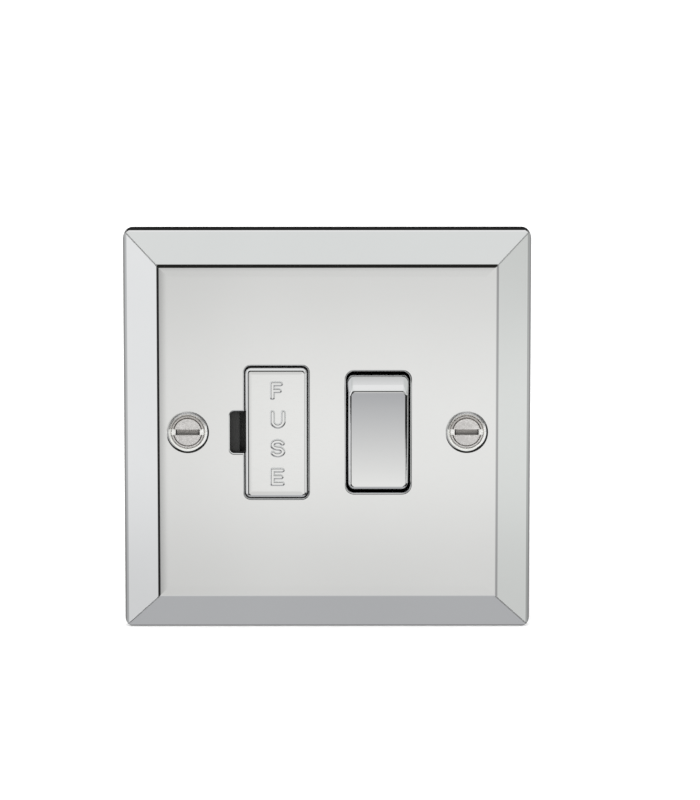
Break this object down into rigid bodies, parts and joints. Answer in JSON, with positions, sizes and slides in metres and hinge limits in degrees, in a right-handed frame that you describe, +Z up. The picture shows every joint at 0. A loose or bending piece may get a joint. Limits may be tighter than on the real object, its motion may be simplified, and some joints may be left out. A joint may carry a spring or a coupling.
{
  "type": "fused spur unit",
  "caption": "Square bevelled chrome wall plate with a rocker switch and a pull-out cartridge fuse holder, fixed to a wall box by two screws.",
  "frame": {"origin": "middle of the wall plane that the plate's rim lies on", "axes": "+X to the right, +Y into the wall, +Z up; the front faces -Y"},
  "size_m": [0.088, 0.0317, 0.088],
  "materials": {
    "plated_steel": "polished chrome plate",
    "screw_steel": "nickel plated",
    "stud_steel": "zinc plated",
    "insert_plastic": "moulded black",
    "housing_plastic": "moulded black, fine texture",
    "plated_rocker": "polished chrome",
    "rocker_plastic": "moulded black",
    "plated_cover": "satin chrome",
    "carrier_plastic": "moulded black",
    "spring_steel": "bright drawn wire",
    "brass": "bright brass",
    "contact_copper": "copper",
    "silver": "silver",
    "clip_bronze": "phosphor bronze",
    "terminal_screw_steel": "zinc plated",
    "ceramic": "glazed ceramic",
    "fuse_cap_metal": "nickel plated"
  },
  "bodies": {
    "unit": {"front_plate": "plated_steel", "fixing_screws": "screw_steel", "plate_studs": "stud_steel", "stud_nuts": "stud_steel", "front_moulding": "insert_plastic", "rear_housing": "housing_plastic", "live_supply_bar": "brass", "neutral_supply_bar": "brass", "live_bridge_bar": "brass", "neutral_load_bar": "brass", "live_load_bar": "brass", "earth_strap": "brass", "terminal_live_supply": "brass", "terminal_earth_supply": "brass", "terminal_neutral_supply": "brass", "terminal_live_load": "brass", "terminal_earth_load": "brass", "terminal_neutral_load": "brass", "fixed_contact_tips": "silver", "fuse_clip_upper": "clip_bronze", "fuse_clip_lower": "clip_bronze", "terminal_screws": "terminal_screw_steel"},
    "rocker": {"rocker_cap": "plated_rocker", "rocker_body": "rocker_plastic", "plunger_spring_live": "spring_steel", "plunger_spring_neutral": "spring_steel"},
    "plunger_live": {"plunger_live": "brass"},
    "plunger_neutral": {"plunger_neutral": "brass"},
    "contact_live": {"moving_contact_live": "contact_copper", "contact_tip_live": "silver"},
    "contact_neutral": {"moving_contact_neutral": "contact_copper", "contact_tip_neutral": "silver"},
    "fuse_drawer": {"fuse_cover": "plated_cover", "fuse_carrier": "carrier_plastic", "fuse_barrel": "ceramic", "fuse_end_caps": "fuse_cap_metal"}
  },
  "joints": [
    {"name": "rocker_tilt", "type": "hinge", "parent": "unit", "child": "rocker", "pos_m": [0.011, -0.0015, 0], "axis": [1, 0, 0], "range_deg": [-16, 0]},
    {"name": "live_contact_rock", "type": "hinge", "parent": "unit", "child": "contact_live", "pos_m": [0.0075, 0.0094, 0], "axis": [1, 0, 0], "range_deg": [0, 16]},
    {"name": "live_plunger_slide", "type": "slide", "parent": "rocker", "child": "plunger_live", "axis": [0, -0.9903, -0.1392], "range_m": [0, 0.0008], "stiffness_N_per_m": 600, "springref_m": -0.002, "deforming": ["plunger_spring_live"]},
    {"name": "neutral_contact_rock", "type": "hinge", "parent": "unit", "child": "contact_neutral", "pos_m": [0.0145, 0.0094, 0], "axis": [1, 0, 0], "range_deg": [0, 16]},
    {"name": "neutral_plunger_slide", "type": "slide", "parent": "rocker", "child": "plunger_neutral", "axis": [0, -0.9903, -0.1392], "range_m": [0, 0.0008], "stiffness_N_per_m": 600, "springref_m": -0.002, "deforming": ["plunger_spring_neutral"]},
    {"name": "fuse_drawer_slide", "type": "slide", "parent": "unit", "child": "fuse_drawer", "axis": [0, -1, 0], "range_m": [0, 0.013]}
  ],
  "couplings": [
    {"joint": "live_contact_rock", "follows": "rocker_tilt", "ratio": -1},
    {"joint": "neutral_contact_rock", "follows": "rocker_tilt", "ratio": -1}
  ]
}
